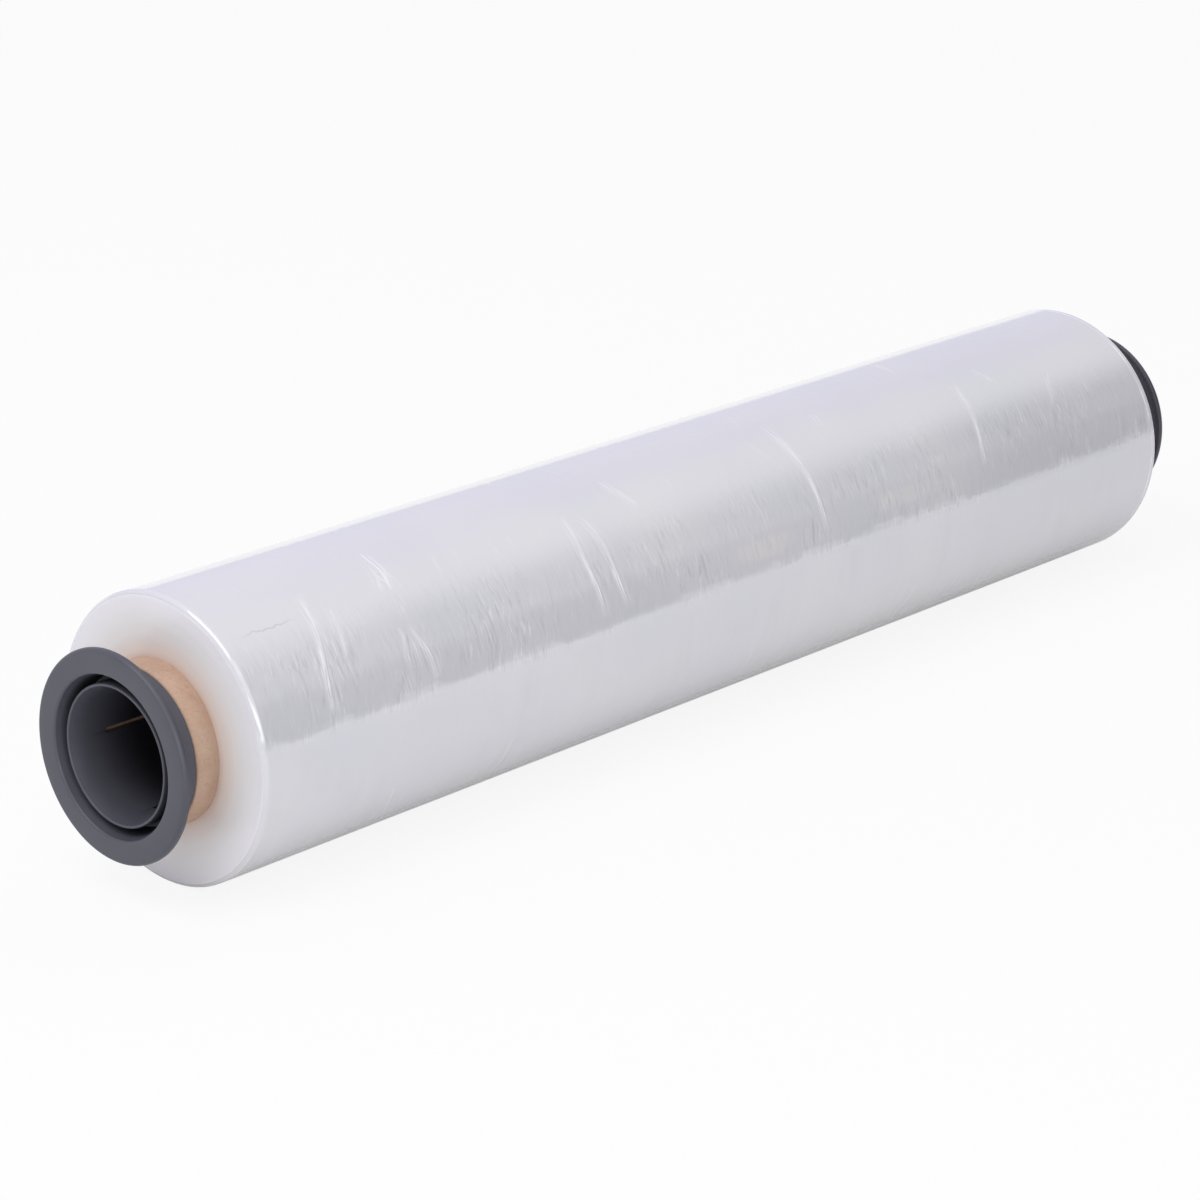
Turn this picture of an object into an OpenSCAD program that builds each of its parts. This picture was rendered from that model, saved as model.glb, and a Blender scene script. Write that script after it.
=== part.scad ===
// Roll of stretch wrap film on a cardboard core, with a moulded grip plug in each end.
// The roll lies along X on the flat spot of its film, with Z up. The origin is on the
// floor, below the middle of the whole length. Sizes are in millimetres.

/* [Film] */
// Width of the film, measured along the roll
film_w = 500; // [300:5:600]
// Outside diameter of the wound film
film_od = 103.5; // [84:0.5:150]
// Radius of the rounded edges at the ends of the film
film_edge_r = 2; // [1:0.25:6]
// Width of the flat spot that the film lies on
flat_w = 12; // [6:0.5:20]

/* [Turns and creases of the film] */
// Width of each band of turns that shows on the cut ends of the film
turn_band = 2.5; // [1.5:0.1:6]
// Depth by which every second band of turns stands back
turn_step = 0.15; // [0.05:0.05:0.6]
// Height of the creases that run round the film
crease_h = 0.35; // [0.1:0.05:0.6]
// Width of a crease at its foot
crease_w = 2.2; // [1.2:0.1:4]

/* [Core] */
// Wall of the cardboard core
core_wall = 3.95; // [2.5:0.05:6]
// Chamfer on the cut ends of the core
core_chamfer = 0.4; // [0.1:0.1:1]
// Length of core that shows at the left end
left_stub = 9.5; // [2:0.5:30]
// Length of core that shows at the right end
right_stub = 12.5; // [2:0.5:30]

/* [Sleeve of the plug] */
// Outside diameter of the sleeve that turns in the core
sleeve_od = 50; // [44:0.1:54]
// Wall of the sleeve
sleeve_wall = 2.4; // [1.6:0.1:4]
// Length of sleeve inside the core
sleeve_reach = 55; // [30:1:100]
// Running clearance between the sleeve and the core, all round
sleeve_gap = 0.05; // [0.02:0.01:0.1]
// Wall of the sleeve at its thin front rim
rim_wall = 1.1; // [0.8:0.1:1.5]
// Depth of the rim behind the flange's front face
rim_recess = 2.1; // [0.5:0.1:4]
// Depth from the rim at which the flared mouth meets the straight bore
mouth_len = 8; // [5:0.5:9]
// Lead-in chamfer on the sleeve's tip
tip_chamfer = 1; // [0.4:0.1:1.5]

/* [Slots of the sleeve] */
// Number of lengthwise slots
slot_count = 4; // [2:1:8]
// Width of each slot
slot_w = 2; // [1:0.1:4]
// Depth of the slots' closed ends behind the flange's front face
slot_start = 17; // [15:0.5:30]
// Turn of the first slot about the roll's axis
slot_turn = -2.6; // [-45:0.1:45]

/* [Flange and hub of the plug] */
// Outside diameter of the flange
flange_od = 75; // [70:0.5:90]
// Thickness of the flange
flange_t = 2.8; // [2.4:0.1:4]
// Rounding of the flange's front edge
flange_front_r = 1.5; // [0.5:0.1:1.6]
// Rounding of the flange's back edge
flange_back_r = 0.8; // [0.3:0.1:0.8]
// Length of the plug in front of the core
hub_len = 12.8; // [10:0.1:14]
// Wall of the hub at its back end
hub_wall = 1.9; // [1.4:0.1:2.2]
// Step from the core's outside down to the hub
hub_step = 0.5; // [0:0.1:1]
// Radius of the flare between the flange and the hub
flare_r = 6; // [2:0.5:7]
// Gap that lets the hub turn against the core's end
hub_gap = 0.2; // [0.1:0.05:0.5]
// Width of the groove round the sleeve at its open front
groove_w = 3.6; // [3:0.1:4.5]
// Rounding of the groove's front lip
lip_r = 1; // [0.3:0.1:1.2]
// Thickness of the web that joins the hub and the sleeve
web_t = 2.2; // [1.6:0.1:4]

/* [Hidden] */
$fn = 128;

// Radii, each worked out from the fit of sleeve, core and film
sleeve_r = sleeve_od / 2;
bore_r = sleeve_r - sleeve_wall;
core_bore_r = sleeve_r + sleeve_gap;
core_r = core_bore_r + core_wall;
hub_r = core_r - hub_step;
mouth_r = sleeve_r + groove_w;
film_r = film_od / 2;
flange_r = flange_od / 2;

// Places along the roll
core_len = left_stub + film_w + right_stub;
total_len = core_len + 2 * (hub_len + hub_gap);
left_face_x = -total_len / 2;
core_x = left_face_x + hub_len + hub_gap;
film_x = core_x + left_stub;

// The flat spot sets how high the axis lies
axis_z = sqrt(film_r * film_r - flat_w * flat_w / 4);

// The rounding of the film's edge is held inside the wound thickness
edge_r = min(film_edge_r, (film_r - core_r) / 2);

// Bands of turns between the core and the rounded edge, the odd ones standing back
band_count = floor((film_r - edge_r - core_r) / turn_band);

// Radius of the low round top of a crease, from its height and its foot
crease_top_r = (crease_h * crease_h + crease_w * crease_w / 4) / (2 * crease_h);

// How much longer the ring of a crease is than what shows, so that its ends lie in the film
crease_bury = 1.4;

// Each crease of the film: its place as a share of the film's width, the angle of its
// middle above the front of the roll, the angle that it spans and the angle that it leans
creases = [
    [0.074, 40, 52, 12], [0.096, 44, 24, 9], [0.158, 63, 24, 5], [0.159, 25, 26, -12],
    [0.330, 37, 50, 2], [0.352, 36, 44, -3], [0.398, 63, 22, -19], [0.579, 45, 60, 0],
    [0.784, 42, 46, 12], [0.890, 46, 20, 27],
    [0.120, 138, 46, -10], [0.270, 150, 30, 6], [0.460, 134, 54, -3], [0.655, 146, 36, 10],
    [0.860, 130, 50, -7], [0.200, 212, 32, 8], [0.540, 218, 40, -5], [0.760, 208, 28, 12],
    [0.240, -36, 30, 6], [0.500, -30, 24, -8], [0.690, -38, 34, 4]
];

// The flare is held inside the flange and the hub
flare = min(flare_r, flange_r - flange_back_r - hub_r, hub_len - flange_t);

// The groove narrows to the hub's wall and ends at the web
groove_bottom_r = max(hub_r - hub_wall, sleeve_r + 1);
groove_depth = hub_len - web_t;

// Depths along the sleeve, behind the flange's front face
rim_round = rim_wall / 2;
mouth_end = rim_recess + mouth_len;
sleeve_end = hub_len + hub_gap + sleeve_reach;

// Radius of the arc that flares the sleeve's mouth from its bore to its thin rim
mouth_rise = sleeve_wall - rim_wall;
mouth_run = mouth_len - rim_round;
mouth_arc_r = (mouth_rise * mouth_rise + mouth_run * mouth_run) / (2 * mouth_rise);

// Spare length by which a cut runs past the faces that it opens
past = 1;

// Turns a piece made upright so that its own Z runs along the roll
module along_roll(x) {
    translate([x, 0, axis_z])
        rotate([0, 90, 0])
            children();
}

// What comes off a square corner at the origin to leave a quarter round.
// The corner points towards plus x and plus y.
module corner_waste(r) {
    difference() {
        translate([-r, -r])
            square(r + past);
        translate([-r, -r])
            circle(r, $fn = 64);
    }
}

// What fills a square inside corner at the origin to leave a concave quarter round
module corner_fill(r) {
    difference() {
        square(r);
        translate([r, r])
            circle(r, $fn = 96);
    }
}

// Half section of what the bands of turns that stand back leave open at one end
module band_waste() {
    for (i = [1 : 2 : band_count - 1])
        translate([core_r + i * turn_band, -past])
            square([turn_band, past + turn_step]);
}

// Half section of the wound film: x is the radius, y runs along the roll
module film_section() {
    difference() {
        translate([core_r, 0])
            square([film_r - core_r, film_w]);
        translate([film_r, film_w])
            corner_waste(edge_r);
        translate([film_r, 0])
            mirror([0, 1])
                corner_waste(edge_r);
        band_waste();
        translate([0, film_w])
            mirror([0, 1])
                band_waste();
    }
}

// One crease: part of a thin ring whose centre lies off the roll's axis, so that it rises
// out of the film and dies away at both ends
module crease(place, angle, span, lean) {
    shift = crease_h / (1 - cos(span / 2));
    crest_r = film_r + crease_h - shift;
    sweep = crease_bury * span * film_r / crest_r;
    translate([film_x + place * film_w, 0, axis_z])
        rotate([-angle, 0, 0])
            translate([0, -shift, 0])
                rotate([0, 90 + lean, 0])
                    rotate([0, 0, -90 - sweep / 2])
                        rotate_extrude(angle = sweep)
                            translate([crest_r - crease_top_r, 0])
                                circle(crease_top_r, $fn = 32);
}

// The wound film, one solid with its creases, and the flat spot that it lies on
module film_roll() {
    color([0.87, 0.87, 0.90])
        difference() {
            union() {
                along_roll(film_x)
                    rotate_extrude($fn = 180)
                        film_section();
                for (c = creases)
                    crease(c[0], c[1], c[2], c[3]);
            }
            translate([film_x - past, -flat_w, -film_r])
                cube([film_w + 2 * past, 2 * flat_w, film_r]);
        }
}

// The cardboard core, cut square at both ends
module core_tube() {
    color([0.76, 0.62, 0.50])
        along_roll(core_x)
            rotate_extrude()
                polygon([
                    [core_bore_r, 0],
                    [core_r - core_chamfer, 0],
                    [core_r, core_chamfer],
                    [core_r, core_len - core_chamfer],
                    [core_r - core_chamfer, core_len],
                    [core_bore_r, core_len]
                ]);
}

// Half section of the flange: a thin disc with both edges rounded
module flange_section() {
    difference() {
        translate([sleeve_r, 0])
            square([flange_r - sleeve_r, flange_t]);
        translate([flange_r, 0])
            mirror([0, 1])
                corner_waste(flange_front_r);
        translate([flange_r, flange_t])
            corner_waste(flange_back_r);
    }
}

// Half section of the hub behind the flange, with the flare that joins them
module hub_section() {
    translate([sleeve_r, 0])
        square([hub_r - sleeve_r, hub_len]);
    translate([hub_r, flange_t])
        corner_fill(flare);
}

// Half section of the groove: straight at the lip, then narrowing to the web
module groove_section() {
    polygon([
        [sleeve_r, -past],
        [mouth_r, -past],
        [mouth_r, lip_r],
        [groove_bottom_r, groove_depth],
        [sleeve_r, groove_depth]
    ]);
    translate([mouth_r, 0])
        mirror([1, 0])
            mirror([0, 1])
                corner_waste(lip_r);
}

// Half section of the sleeve: thin round rim, flared mouth, straight bore, chamfered tip
module sleeve_section() {
    translate([sleeve_r - rim_round, rim_recess + rim_round])
        circle(rim_round, $fn = 48);
    intersection() {
        translate([bore_r, rim_recess + rim_round])
            square([sleeve_wall, mouth_run]);
        translate([bore_r + mouth_arc_r, mouth_end])
            circle(mouth_arc_r, $fn = 256);
    }
    polygon([
        [bore_r, mouth_end],
        [sleeve_r, mouth_end],
        [sleeve_r, sleeve_end - 2 * tip_chamfer],
        [sleeve_r - tip_chamfer, sleeve_end],
        [bore_r, sleeve_end]
    ]);
}

// One slot through the sleeve's wall, round at its closed end and open at the tip
module sleeve_slot() {
    translate([bore_r - past, 0, slot_start + slot_w / 2]) {
        rotate([0, 90, 0])
            cylinder(h = sleeve_wall + 2 * past, d = slot_w, $fn = 32);
        translate([0, -slot_w / 2, 0])
            cube([sleeve_wall + 2 * past, slot_w, sleeve_end]);
    }
}

// One moulded plug, standing on its front face, with its sleeve pointing up
module end_plug() {
    color([0.36, 0.36, 0.40])
        difference() {
            rotate_extrude() {
                difference() {
                    union() {
                        flange_section();
                        hub_section();
                    }
                    groove_section();
                }
                sleeve_section();
            }
            for (i = [0 : slot_count - 1])
                rotate([0, 0, slot_turn + i * 360 / slot_count])
                    sleeve_slot();
        }
}

module left_end_plug() {
    along_roll(left_face_x)
        end_plug();
}

// The same moulding, turned round to face the other way
module right_end_plug() {
    rotate([0, 0, 180])
        along_roll(left_face_x)
            end_plug();
}

film_roll();
core_tube();
left_end_plug();
right_end_plug();
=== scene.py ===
# %% [markdown]
# A roll of stretch wrap film lies on its side. It has four pieces: the wound film, the
# cardboard core that it is wound on, and a moulded grip plug that turns in each end of the
# core. This notebook dresses those pieces. The frame brings their true sizes and places,
# in metres, with the roll along X and its left end nearest to the camera. Everything below
# is modelled round that frame, so nothing has to be fitted by eye afterwards.

# %% Load the frame
import math

import bmesh
import bpy
import numpy as np
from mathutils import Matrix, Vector, noise


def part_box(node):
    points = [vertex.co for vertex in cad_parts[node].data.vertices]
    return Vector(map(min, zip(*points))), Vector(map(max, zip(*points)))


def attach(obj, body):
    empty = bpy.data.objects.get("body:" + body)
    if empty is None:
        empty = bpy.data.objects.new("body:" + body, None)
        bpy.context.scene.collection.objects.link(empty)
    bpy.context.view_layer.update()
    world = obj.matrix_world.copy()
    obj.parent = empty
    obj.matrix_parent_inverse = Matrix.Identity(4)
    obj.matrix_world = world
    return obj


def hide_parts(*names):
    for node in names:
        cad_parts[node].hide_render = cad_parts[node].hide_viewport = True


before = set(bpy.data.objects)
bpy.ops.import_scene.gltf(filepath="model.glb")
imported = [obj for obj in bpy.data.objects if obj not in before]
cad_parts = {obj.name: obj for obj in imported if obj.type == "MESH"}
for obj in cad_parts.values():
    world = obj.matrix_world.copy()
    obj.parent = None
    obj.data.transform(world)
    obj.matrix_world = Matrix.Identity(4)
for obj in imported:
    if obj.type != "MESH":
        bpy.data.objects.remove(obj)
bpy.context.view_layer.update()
MM = 0.001

# %% [markdown]
# The camera comes first, because every look at the work goes through it. A long lens from
# well back keeps the far end of the roll nearly as large as the near end. The camera stands
# to the left of the roll's front, a little above it, so that the open mouth of the near
# plug shows. A camera looks along its own -Z with its own Y upwards, so the direction of
# view becomes a rotation with to_track_quat.

# %% Camera
CAMERA_PLACE = Vector((-1.01803, -0.91384, 0.51153))
CAMERA_VIEW = Vector((0.69156, 0.64374, -0.32765))
LENS_MM = 113.84
SENSOR_MM = 36
camera_data = bpy.data.cameras.new("camera")
camera_data.lens = LENS_MM
camera_data.sensor_width = SENSOR_MM
camera = bpy.data.objects.new("camera", camera_data)
camera.location = CAMERA_PLACE
camera.rotation_euler = CAMERA_VIEW.to_track_quat("-Z", "Y").to_euler()
bpy.context.collection.objects.link(camera)
bpy.context.scene.camera = camera
bpy.context.scene.view_settings.view_transform = "Standard"
print("camera stands", round(CAMERA_PLACE.length, 2), "m from the middle of the roll's foot")

# %% [markdown]
# All sizes hang on a few numbers. The frame's boxes give the ends of each piece along the
# roll, so they are read from there. The radii are written here once, and so are the small
# sizes that a box can't show, such as walls, grooves and roundings. The roll lies on a flat
# spot, so its axis is a little lower than its radius.

# %% Sizes
film_low, film_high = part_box("film_roll")
core_low, core_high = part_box("core_tube")
plug_low, plug_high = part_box("left_end_plug")

FILM_R = 51.75 * MM
FLAT_W = 12 * MM
AXIS_Z = math.sqrt(FILM_R ** 2 - (FLAT_W / 2) ** 2)
AXIS = Vector((0, 0, AXIS_Z))
CORE_R = 29.0 * MM
CORE_BORE_R = 25.05 * MM
EDGE_R = 2 * MM
BAND_W = 2.5 * MM
BAND_STEP = 0.04 * MM
WALL_TOLERANCE = 0.1 * MM
film_left, film_right = film_low.x, film_high.x
film_width = film_right - film_left
core_left, core_right = core_low.x, core_high.x
face_x = plug_low.x
print("axis height", round(AXIS_Z / MM, 2), "mm, film from", round(film_left / MM, 2), "to",
      round(film_right / MM, 2), "mm")

# %% [markdown]
# Three of the pieces are turned shapes, so they share one way of working. On a lathe, a
# profile is swept round an axis. By hand in Blender, that is a circle primitive at the
# first point of the profile, extruded ring after ring: each new ring is moved along the
# axis and scaled to its new radius. The last ring lands on the first one, and merging the
# doubles closes the skin. A spin of a drawn profile would do the same, but rings keep every
# vertex in straight rows along the roll, which helps the later steps.

# %% Helpers for modelling
MERGE = 0.002 * MM


def only(piece):
    """Leaves just this piece selected and active, because an operator acts on all that is."""
    bpy.ops.object.select_all(action="DESELECT")
    piece.select_set(True)
    bpy.context.view_layer.objects.active = piece
    return piece


def pick(kind, test):
    """In edit mode, selects the verts, edges or faces that pass a test of their middle."""
    bpy.ops.mesh.select_all(action="DESELECT")
    bpy.ops.mesh.select_mode(type={"verts": "VERT", "edges": "EDGE", "faces": "FACE"}[kind])
    mesh = bmesh.from_edit_mesh(bpy.context.edit_object.data)
    count = 0
    for part in getattr(mesh, kind):
        if test(part):
            part.select_set(True)
            count += 1
    mesh.select_flush_mode()
    bmesh.update_edit_mesh(bpy.context.edit_object.data)
    return count


def arc(depth, radius, size, start, end, steps):
    """Points of a round stretch of a profile, by its centre, its own radius and two angles.
    Angle 0 points outwards from the axis and angle 90 points along it."""
    angles = [math.radians(start + (end - start) * i / steps) for i in range(steps + 1)]
    return [(depth + size * math.sin(a), radius + size * math.cos(a)) for a in angles]


def turn(name, profile, segments):
    """A turned piece: a circle at the profile's first point, extruded ring after ring."""
    bpy.ops.object.select_all(action="DESELECT")
    depth, radius = profile[0]
    bpy.ops.mesh.primitive_circle_add(vertices=segments, radius=radius,
                                      location=(depth, 0, AXIS_Z), rotation=(0, math.pi / 2, 0))
    piece = bpy.context.object
    piece.name = name
    bpy.ops.object.transform_apply(location=True, rotation=True, scale=True)
    bpy.ops.object.mode_set(mode="EDIT")
    bpy.ops.mesh.select_mode(type="EDGE")
    bpy.ops.mesh.select_all(action="SELECT")
    for new_depth, new_radius in profile[1:]:
        bpy.ops.mesh.extrude_region_move(
            TRANSFORM_OT_translate={"value": (new_depth - depth, 0, 0)})
        grow = new_radius / radius
        bpy.ops.transform.resize(value=(1, grow, grow), center_override=(new_depth, 0, AXIS_Z))
        depth, radius = new_depth, new_radius
    bpy.ops.mesh.select_all(action="SELECT")
    bpy.ops.mesh.remove_doubles(threshold=MERGE)
    bpy.ops.mesh.normals_make_consistent(inside=False)
    bpy.ops.object.mode_set(mode="OBJECT")
    return piece


def smooth(piece, degrees):
    """Shades the piece smooth, apart from edges sharper than this."""
    only(piece)
    bpy.ops.object.shade_smooth_by_angle(angle=math.radians(degrees))


def report(piece):
    """Prints what a piece came out as."""
    size = [round(v / MM, 1) for v in piece.dimensions]
    triangles = sum(len(face.vertices) - 2 for face in piece.data.polygons)
    print(piece.name, "mm", size, "triangles", triangles)


# %% [markdown]
# The film is a thick tube of hundreds of turns. From outside it is one solid with softly
# rounded shoulders, and its cut ends show bands of turns, every second one standing back by
# a hair. Its profile starts at the core on the left, climbs the left end, runs along the
# outside and comes back down the right end.

# %% Film: profile of the wound tube
FILM_SEGMENTS = 96
SHOULDER_STEPS = 6
BAND_SLOPE = 1.2 * MM
band_count = math.floor((FILM_R - EDGE_R - CORE_R) / BAND_W)


def end_points(face, inward):
    """Profile of one cut end from the core outwards; inward is +1 at the left end."""
    points = [(face, CORE_R)]
    for i in range(1, band_count):
        edge = CORE_R + i * BAND_W
        here, after = (0, 1) if i % 2 else (1, 0)
        points.append((face + inward * here * BAND_STEP, edge - BAND_SLOPE / 2))
        points.append((face + inward * after * BAND_STEP, edge + BAND_SLOPE / 2))
    if band_count % 2 == 0:
        edge = CORE_R + band_count * BAND_W
        points.append((face + inward * BAND_STEP, edge - BAND_SLOPE / 2))
        points.append((face, edge + BAND_SLOPE / 2))
    return points


left_shoulder = arc(film_left + EDGE_R, FILM_R - EDGE_R, EDGE_R, -90, 0, SHOULDER_STEPS)
right_shoulder = arc(film_right - EDGE_R, FILM_R - EDGE_R, EDGE_R, 0, 90, SHOULDER_STEPS)
film_profile = end_points(film_left, 1) + left_shoulder + right_shoulder
film_profile += end_points(film_right, -1)[::-1] + [(film_left, CORE_R)]
film = turn("wound_film", film_profile, FILM_SEGMENTS)
report(film)

# %% [markdown]
# The creases need a finer mesh along the roll than round it, because they run round it like
# the ridges of a drawn thread. So only the long edges of the outside wall are subdivided,
# in two passes, which leaves rows about half a millimetre apart and keeps the number of
# columns as it was.

# %% Film: rows for the creases
LONG_EDGE = 0.6 * film_width
FIRST_CUTS = 27
SECOND_CUTS = 29
row = (film_width - 2 * EDGE_R) / (FIRST_CUTS + 1)
row_edge = 0.9 * row


def on_wall(edge, shortest):
    """True for an edge that runs along the roll on the film's outside."""
    a, b = edge.verts[0].co, edge.verts[1].co
    on_outside = math.hypot(a.y, a.z - AXIS_Z) > FILM_R - WALL_TOLERANCE
    return on_outside and abs(a.x - b.x) > shortest


only(film)
bpy.ops.object.mode_set(mode="EDIT")
first = pick("edges", lambda edge: on_wall(edge, LONG_EDGE))
bpy.ops.mesh.subdivide(number_cuts=FIRST_CUTS)
second = pick("edges", lambda edge: on_wall(edge, row_edge))
bpy.ops.mesh.subdivide(number_cuts=SECOND_CUTS)
bpy.ops.object.mode_set(mode="OBJECT")
print("long edges", first, "then", second)
print("rows stand apart by mm", round(row / (SECOND_CUTS + 1) / MM, 2))

# %% [markdown]
# Winding pulls the film into long thin creases that run most of the way up the front and
# die away. Each one has a place along the film, the angle of its middle above the roll's
# front, the angle that it spans, its lean, and how tall it is. The long ones in front stand
# where the real roll has them, and the back has a few like them. Many shorter ones and low
# crinkles are drawn at random, always from the same seed, so that every run gives the same
# roll.

# %% Film: where the creases run
MAIN_CREASES = [
    (0.074, 40, 52, 12, 1.0), (0.096, 44, 24, 9, 0.7), (0.158, 63, 24, 5, 1.0),
    (0.151, 60, 18, 16, 0.6), (0.159, 25, 26, -12, 0.7), (0.143, 30, 18, 8, 0.5),
    (0.330, 37, 50, 2, 0.9), (0.352, 36, 44, -3, 1.0), (0.398, 63, 22, -19, 0.7),
    (0.579, 45, 60, 0, 1.0), (0.630, 67, 14, 6, 0.5), (0.784, 42, 46, 12, 1.0),
    (0.829, 63, 16, -22, 0.6), (0.890, 46, 20, 27, 0.7), (0.975, 10, 12, 0, 0.4),
    (0.120, 138, 46, -10, 1.0), (0.270, 150, 30, 6, 0.8), (0.460, 134, 54, -3, 1.0),
    (0.655, 146, 36, 10, 0.9), (0.860, 130, 50, -7, 1.0), (0.200, 212, 32, 8, 0.8),
    (0.540, 218, 40, -5, 0.9), (0.760, 208, 28, 12, 0.8), (0.240, -36, 30, 6, 0.2),
    (0.500, -30, 24, -8, 0.15), (0.690, -38, 34, 4, 0.2),
]
SMALL_SECTORS = (((12, 62), 34), ((70, 330), 80))
CRINKLE_SECTOR = (-80, 260)
CRINKLE_COUNT = 900
ALONG_FILM = (0.02, 0.98)
random_place = np.random.default_rng(7)


def draw_crease(sector, spans, lean, heights):
    """A crease at random: its place, its middle, its span, its lean and its height."""
    return (random_place.uniform(*ALONG_FILM), random_place.uniform(*sector),
            random_place.uniform(*spans), random_place.normal(0, lean),
            random_place.uniform(*heights))


small_creases = [draw_crease(sector, (6, 24), 9, (0.1, 0.5))
                 for sector, number in SMALL_SECTORS for _ in range(number)]
crinkles = [draw_crease(CRINKLE_SECTOR, (8, 26), 14, (0.05, 0.22))
            for _ in range(CRINKLE_COUNT)]
print("creases", len(MAIN_CREASES), "small ones", len(small_creases), "crinkles", len(crinkles))

# %% [markdown]
# The creases are true relief, made by moving vertices, so they catch light from any side.
# Sculpting by hand would give the same, but a rule can be repeated on every run. The mesh
# is read and written in one go with foreach_get and foreach_set, because moving eighty
# thousand vertices one by one is slow. Each vertex gets its angle above the roll's front.

# %% Film: read the vertices
count = len(film.data.vertices)
points = np.empty(count * 3)
film.data.vertices.foreach_get("co", points)
points = points.reshape(-1, 3)
side, rise = points[:, 1], points[:, 2] - AXIS_Z
radius = np.hypot(side, rise)
angle = np.degrees(np.arctan2(rise, -side))
outside = radius > FILM_R - WALL_TOLERANCE
print("vertices", count, "on the wall", int(outside.sum()))

# %% [markdown]
# A pinched crease has a narrow crest between two shallow troughs, wavers a little, and dies
# away towards both ends. The material has to know later where the creases run, so the
# distance to the nearest one, in millimetres, and its strength there are left on the mesh
# as two attributes. The low crinkles are relief alone.

# %% Film: creases and crinkles
CREASE_H = 0.2 * MM
CREASE_W = 0.9 * MM
TROUGH_SHARE = 0.3
TROUGH_WIDTHS = 2.6
WAVER = 0.5 * MM
REACH_WIDTHS = 9
PINCH_REACH = 4.0
FAR_AWAY = 50.0
relief = np.zeros(count)
across_mm = np.full(count, FAR_AWAY)
pinch = np.zeros(count)


def add_crease(place, middle, span, lean, height, width, spread=0.0):
    """Adds one crease to the relief. One with a spread also leaves its distance, divided
    by the spread, and its strength for the material."""
    slope = math.tan(math.radians(lean))
    turned = (angle - middle + 180) % 360 - 180
    centre = film_left + place * film_width
    reach = FILM_R * np.radians(span / 2) * abs(slope) + REACH_WIDTHS * width
    near = outside & (np.abs(turned) < span / 2) & (np.abs(points[:, 0] - centre) < reach)
    bend = turned[near] / (span / 2)
    line = centre + FILM_R * np.radians(turned[near]) * slope
    line += WAVER * np.sin(bend * 4 + place * 90)
    across = (points[near, 0] - line) / width
    crest = np.exp(-across ** 2) - TROUGH_SHARE * np.exp(-(across / TROUGH_WIDTHS) ** 2)
    relief[near] += CREASE_H * height * crest * (1 - bend ** 2)
    if spread:
        distance = (points[near, 0] - line) / MM / spread
        closer = np.abs(distance) < np.abs(across_mm[near])
        across_mm[near] = np.where(closer, distance, across_mm[near])
        strength = height * (1 - np.abs(bend) ** 3)
        strength *= np.clip(1 - np.abs(distance) / PINCH_REACH, 0, 1)
        pinch[near] = np.where(closer, strength, pinch[near])


for crease in MAIN_CREASES:
    add_crease(*crease, CREASE_W, spread=1.0)
for crease in small_creases:
    add_crease(*crease, 0.8 * CREASE_W, spread=0.5)
for crease in crinkles:
    add_crease(*crease, 1.1 * CREASE_W)
print("tallest crease mm", round(relief.max() / MM, 2))

# %% [markdown]
# Between the creases the skin isn't flat either. Every turn lies a little unevenly on the
# one below, so the wall has streaks a few millimetres wide that run round the roll, and
# slow swells that are wider. Both come from Perlin noise, stretched round the roll. The
# relief fades out at the shoulders, which stay round, and near the floor, where the weight
# of the roll presses the film flat.

# %% Film: streaks and swells
STREAK_H = 0.016 * MM
STREAK_CELL = (2.6, 22)
SWELL_H = 0.05 * MM
SWELL_CELL = (34, 60)
OTHER_SWELLS = Vector((9, 4, 2))
END_FADE = 5 * MM
FLOOR_FADE = 6 * MM


def cell_place(x, y, z, cell):
    """A place in noise whose cells have this length and this way round, in millimetres."""
    length, round_way = cell
    return Vector((x / length, y / round_way, z / round_way))


relief[outside] += [
    STREAK_H * noise.noise(cell_place(x, y, z, STREAK_CELL))
    + SWELL_H * noise.noise(cell_place(x, y, z, SWELL_CELL) + OTHER_SWELLS)
    for x, y, z in points[outside] / MM
]
from_end = np.minimum(points[:, 0] - film_left, film_right - points[:, 0])
fade = np.clip((from_end - EDGE_R) / END_FADE, 0, 1) * np.clip(points[:, 2] / FLOOR_FADE, 0, 1)
scale = np.where(outside, (FILM_R + relief * fade) / radius, 1)
points[:, 1] *= scale
points[:, 2] = AXIS_Z + rise * scale
film.data.vertices.foreach_set("co", points.ravel())
for name, values in (("across_mm", across_mm), ("pinch", pinch)):
    film.data.attributes.new(name, "FLOAT", "POINT").data.foreach_set("value", values)
film.data.update()
print("relief mm from", round(relief.min() / MM, 2), "to", round(relief.max() / MM, 2))

# %% [markdown]
# The roll's weight has made a flat spot underneath. What lies below the floor is picked and
# scaled to nothing in height about the floor, as by hand with the S and Z keys.

# %% Film: the flat spot
only(film)
bpy.ops.object.mode_set(mode="EDIT")
pressed = pick("verts", lambda vert: vert.co.z < 0)
bpy.ops.transform.resize(value=(1, 1, 0), center_override=(0, 0, 0))
bpy.ops.object.mode_set(mode="OBJECT")
smooth(film, 40)
report(film)
print("vertices pressed flat", pressed)

# %% [markdown]
# The core is a plain tube of spiral-wound board, cut square. Its cut edges are broken by
# the saw, so each has a small chamfer, and a Bevel modifier rounds what is left. It is
# turned like the film.

# %% Core tube
CORE_SEGMENTS = 128
CUT_CHAMFER = 0.4 * MM
core = turn("board_core", [
    (core_left, CORE_BORE_R),
    (core_left, CORE_R - CUT_CHAMFER),
    (core_left + CUT_CHAMFER, CORE_R),
    (core_right - CUT_CHAMFER, CORE_R),
    (core_right, CORE_R - CUT_CHAMFER),
    (core_right, CORE_BORE_R),
    (core_left, CORE_BORE_R),
], CORE_SEGMENTS)


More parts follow.
